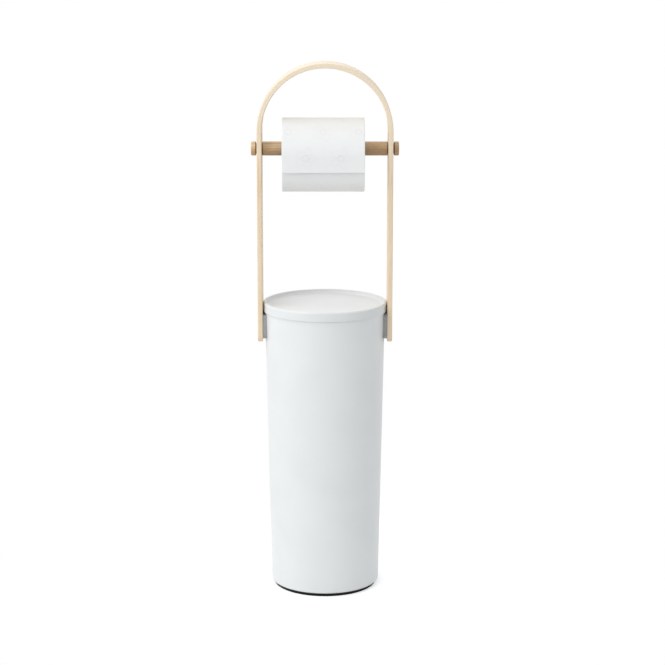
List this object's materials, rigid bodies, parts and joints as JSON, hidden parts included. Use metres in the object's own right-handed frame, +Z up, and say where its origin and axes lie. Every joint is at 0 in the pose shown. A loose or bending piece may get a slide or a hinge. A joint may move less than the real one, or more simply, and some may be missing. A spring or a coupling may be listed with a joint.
{
  "type": "freestanding toilet roll holder",
  "caption": "Freestanding toilet roll holder: tapered canister for spare rolls, lift-off tray lid, bentwood arch handle and a removable turned rod with a paper roll.",
  "frame": {"origin": "on the floor, under the middle of the base", "axes": "+Z up along the canister's axis and the handle, +X along the roll's rod, -Y the front, where the loose sheet hangs"},
  "size_m": [0.1774, 0.1502, 0.6465],
  "materials": {
    "white_abs": "satin",
    "black_abs": "matte",
    "black_rubber": "matte",
    "grey_nylon": "matte",
    "laminated_birch": "satin",
    "turned_beech": "satin",
    "tissue_paper": "matte",
    "core_board": "matte",
    "stainless_steel": "satin",
    "zinc_plated_steel": "satin"
  },
  "bodies": {
    "stand": {"canister_shell": "white_abs", "ballast_disc": "zinc_plated_steel", "base_cover": "black_abs", "base_pad": "black_rubber", "base_screws": "zinc_plated_steel", "bentwood_handle": "laminated_birch", "saddle_left": "grey_nylon", "saddle_right": "grey_nylon", "clamp_pad_left": "grey_nylon", "clamp_pad_right": "grey_nylon", "handle_screws_left": "stainless_steel", "handle_screws_right": "stainless_steel", "handle_nuts_left": "stainless_steel", "handle_nuts_right": "stainless_steel"},
    "lid": {"lid_tray": "white_abs"},
    "rod": {"roll_rod": "turned_beech"},
    "roll": {"roll_core": "core_board", "paper_roll": "tissue_paper"}
  },
  "joints": [
    {"name": "lid_lift", "type": "slide", "parent": "stand", "child": "lid", "axis": [0, 0, 1], "range_m": [0, 0.12]},
    {"name": "rod_lift", "type": "slide", "parent": "stand", "child": "rod", "axis": [0, 0, 1], "range_m": [0, 0.01]},
    {"name": "roll_spin", "type": "hinge", "parent": "rod", "child": "roll", "pos_m": [0, 0, 0.53595], "axis": [1, 0, 0], "continuous": true}
  ]
}
